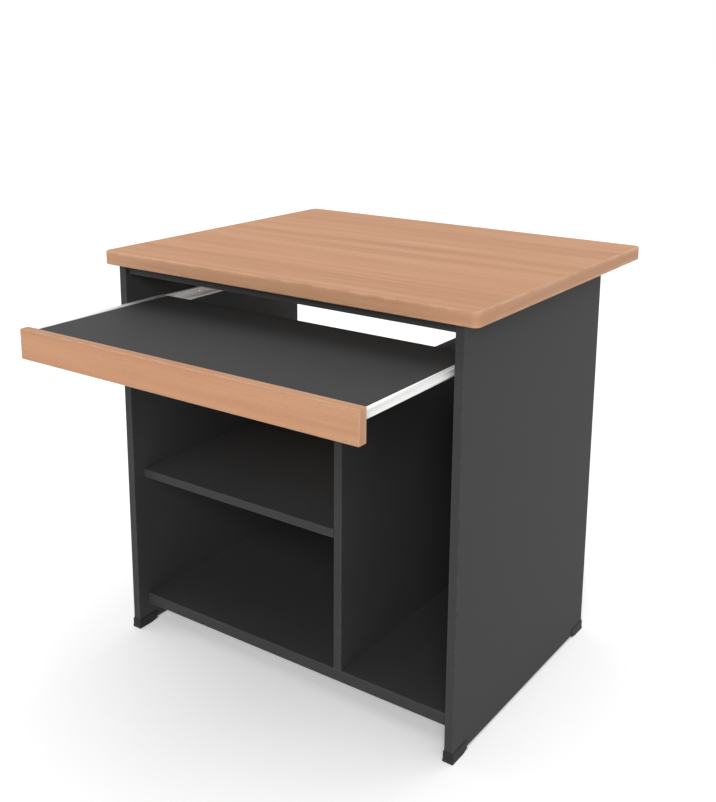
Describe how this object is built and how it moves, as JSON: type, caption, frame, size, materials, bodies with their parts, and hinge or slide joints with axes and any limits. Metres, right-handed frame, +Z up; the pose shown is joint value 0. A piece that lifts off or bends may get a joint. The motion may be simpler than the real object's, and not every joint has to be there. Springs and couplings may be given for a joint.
{
  "type": "computer desk",
  "caption": "Computer desk with a wood-look top on charcoal side panels, open shelves beside a tower bay, and a keyboard tray that pulls out on roller slides.",
  "frame": {"origin": "on the floor, in the middle of the whole desk's box with the tray pulled out", "axes": "+Z up, front and tray towards -Y, +X to the right of someone sitting at the desk"},
  "size_m": [0.772, 0.863, 0.75],
  "materials": {
    "wood_laminate": "satin wood-look laminate",
    "wood_edge_band": "satin wood-look plastic edge band",
    "charcoal_melamine": "matt charcoal melamine on particle board",
    "coated_steel": "white epoxy coating",
    "nylon": "moulded off-white nylon",
    "bright_steel": "bright plated steel",
    "cast_zinc": "die-cast zinc",
    "foot_plastic": "moulded black plastic"
  },
  "bodies": {
    "frame": {"side_panel_left": "charcoal_melamine", "side_panel_right": "charcoal_melamine", "divider": "charcoal_melamine", "bottom_shelf": "charcoal_melamine", "middle_shelf": "charcoal_melamine", "back_panel": "charcoal_melamine", "desk_top": "wood_laminate", "top_edge_band": "wood_edge_band", "foot_cap_front_left": "foot_plastic", "foot_cap_front_right": "foot_plastic", "foot_cap_rear_left": "foot_plastic", "foot_cap_rear_right": "foot_plastic", "cabinet_rail_left": "coated_steel", "front_axle_left": "bright_steel", "cabinet_rail_right": "coated_steel", "front_axle_right": "bright_steel", "cam_shelf_front_left": "cast_zinc", "cam_shelf_front_right": "cast_zinc", "cam_shelf_rear_left": "cast_zinc", "cam_shelf_rear_right": "cast_zinc", "cam_back_lower_left": "cast_zinc", "cam_back_lower_right": "cast_zinc", "cam_back_upper_left": "cast_zinc", "cam_back_upper_right": "cast_zinc", "cam_top_front_left": "cast_zinc", "cam_top_front_right": "cast_zinc", "cam_top_rear_left": "cast_zinc", "cam_top_rear_right": "cast_zinc", "cam_bolt_shelf_front_left": "bright_steel", "cam_bolt_shelf_front_right": "bright_steel", "cam_bolt_shelf_rear_left": "bright_steel", "cam_bolt_shelf_rear_right": "bright_steel", "cam_bolt_back_lower_left": "bright_steel", "cam_bolt_back_lower_right": "bright_steel", "cam_bolt_back_upper_left": "bright_steel", "cam_bolt_back_upper_right": "bright_steel", "cam_bolt_top_front_left": "bright_steel", "cam_bolt_top_front_right": "bright_steel", "cam_bolt_top_rear_left": "bright_steel", "cam_bolt_top_rear_right": "bright_steel", "divider_screw_bottom_front": "bright_steel", "divider_screw_bottom_rear": "bright_steel", "divider_screw_back_lower": "bright_steel", "divider_screw_back_upper": "bright_steel", "shelf_support_front_left": "bright_steel", "shelf_support_front_right": "bright_steel", "shelf_support_rear_left": "bright_steel", "shelf_support_rear_right": "bright_steel"},
    "tray": {"tray_board": "charcoal_melamine", "tray_front": "wood_laminate", "tray_front_edge_band": "wood_edge_band", "tray_rail_left": "coated_steel", "tray_rail_right": "coated_steel", "rear_axle_left": "bright_steel", "rear_axle_right": "bright_steel"},
    "front_roller_left": {"front_roller_left": "nylon"},
    "front_roller_right": {"front_roller_right": "nylon"},
    "rear_roller_left": {"rear_roller_left": "nylon"},
    "rear_roller_right": {"rear_roller_right": "nylon"}
  },
  "joints": [
    {"name": "tray_slide", "type": "slide", "parent": "frame", "child": "tray", "axis": [0, -1, 0], "range_m": [-0.241, 0.01]},
    {"name": "front_roller_left_spin", "type": "hinge", "parent": "frame", "child": "front_roller_left", "pos_m": [-0.3373, -0.1575, 0.645], "axis": [1, 0, 0], "continuous": true},
    {"name": "front_roller_right_spin", "type": "hinge", "parent": "frame", "child": "front_roller_right", "pos_m": [0.3373, -0.1575, 0.645], "axis": [1, 0, 0], "continuous": true},
    {"name": "rear_roller_left_spin", "type": "hinge", "parent": "tray", "child": "rear_roller_left", "pos_m": [-0.3373, -0.1145, 0.6428], "axis": [1, 0, 0], "continuous": true},
    {"name": "rear_roller_right_spin", "type": "hinge", "parent": "tray", "child": "rear_roller_right", "pos_m": [0.3373, -0.1145, 0.6428], "axis": [1, 0, 0], "continuous": true}
  ],
  "couplings": [
    {"joint": "front_roller_left_spin", "follows": "tray_slide", "rad_per_m": 111.11},
    {"joint": "front_roller_right_spin", "follows": "tray_slide", "rad_per_m": 111.11},
    {"joint": "rear_roller_left_spin", "follows": "tray_slide", "rad_per_m": 111.11},
    {"joint": "rear_roller_right_spin", "follows": "tray_slide", "rad_per_m": 111.11}
  ]
}
